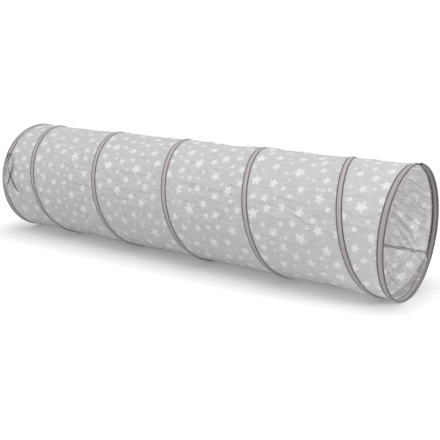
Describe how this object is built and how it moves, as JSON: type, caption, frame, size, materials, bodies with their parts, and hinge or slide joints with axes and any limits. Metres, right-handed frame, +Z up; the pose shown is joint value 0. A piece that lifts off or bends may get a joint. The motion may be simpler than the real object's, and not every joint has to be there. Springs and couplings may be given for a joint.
{
  "type": "play tunnel",
  "caption": "Child's crawl-through tunnel: a cloth tube held open by a spring wire spiral in a sewn casing, with a bound hoop at each end; it folds flat along its length.",
  "frame": {"origin": "on the floor under the middle of the tunnel", "axes": "+X along the tunnel from its far end, which has the tie tape, to its near end, +Z up"},
  "size_m": [1.8, 0.4702, 0.4638],
  "materials": {
    "cloth": "thin woven polyester with a printed star pattern",
    "tape": "woven bias tape, sewn",
    "tie_tape": "narrow woven tape",
    "spring_steel": "drawn spring wire",
    "ferrule": "zinc plated sleeve"
  },
  "bodies": {
    "far_end": {"far_end_binding": "tape", "far_hoop_wire": "spring_steel", "far_hoop_ferrule": "ferrule", "tie_strand_long": "tie_tape", "tie_strand_short": "tie_tape", "cloth_span_1": "cloth", "spiral_casing_1": "tape", "spiral_wire_1": "spring_steel"},
    "section_2": {"cloth_span_2": "cloth", "spiral_casing_2": "tape", "spiral_wire_2": "spring_steel"},
    "section_3": {"cloth_span_3": "cloth", "spiral_casing_3": "tape", "spiral_wire_3": "spring_steel"},
    "section_4": {"cloth_span_4": "cloth", "spiral_casing_4": "tape", "spiral_wire_4": "spring_steel"},
    "section_5": {"cloth_span_5": "cloth", "spiral_casing_5": "tape", "spiral_wire_5": "spring_steel"},
    "section_6": {"cloth_span_6": "cloth", "spiral_casing_6": "tape", "spiral_wire_6": "spring_steel"},
    "near_end": {"near_end_binding": "tape", "near_hoop_wire": "spring_steel", "near_hoop_ferrule": "ferrule"}
  },
  "joints": [
    {"name": "fold_1", "type": "slide", "parent": "far_end", "child": "section_2", "axis": [-1, 0, 0], "range_m": [0, 0.289], "stiffness_N_per_m": 90, "springref_m": -0.02, "deforming": ["cloth_span_1", "spiral_casing_1", "spiral_wire_1"]},
    {"name": "fold_2", "type": "slide", "parent": "section_2", "child": "section_3", "axis": [-1, 0, 0], "range_m": [0, 0.289], "stiffness_N_per_m": 90, "springref_m": -0.02, "deforming": ["cloth_span_2", "spiral_casing_2", "spiral_wire_2"]},
    {"name": "fold_3", "type": "slide", "parent": "section_3", "child": "section_4", "axis": [-1, 0, 0], "range_m": [0, 0.289], "stiffness_N_per_m": 90, "springref_m": -0.02, "deforming": ["cloth_span_3", "spiral_casing_3", "spiral_wire_3"]},
    {"name": "fold_4", "type": "slide", "parent": "section_4", "child": "section_5", "axis": [-1, 0, 0], "range_m": [0, 0.289], "stiffness_N_per_m": 90, "springref_m": -0.02, "deforming": ["cloth_span_4", "spiral_casing_4", "spiral_wire_4"]},
    {"name": "fold_5", "type": "slide", "parent": "section_5", "child": "section_6", "axis": [-1, 0, 0], "range_m": [0, 0.289], "stiffness_N_per_m": 90, "springref_m": -0.02, "deforming": ["cloth_span_5", "spiral_casing_5", "spiral_wire_5"]},
    {"name": "fold_6", "type": "slide", "parent": "section_6", "child": "near_end", "axis": [-1, 0, 0], "range_m": [0, 0.289], "stiffness_N_per_m": 90, "springref_m": -0.02, "deforming": ["cloth_span_6", "spiral_casing_6", "spiral_wire_6"]}
  ],
  "couplings": [
    {"joint": "fold_2", "follows": "fold_1", "ratio": 1},
    {"joint": "fold_3", "follows": "fold_1", "ratio": 1},
    {"joint": "fold_4", "follows": "fold_1", "ratio": 1},
    {"joint": "fold_5", "follows": "fold_1", "ratio": 1},
    {"joint": "fold_6", "follows": "fold_1", "ratio": 1}
  ]
}
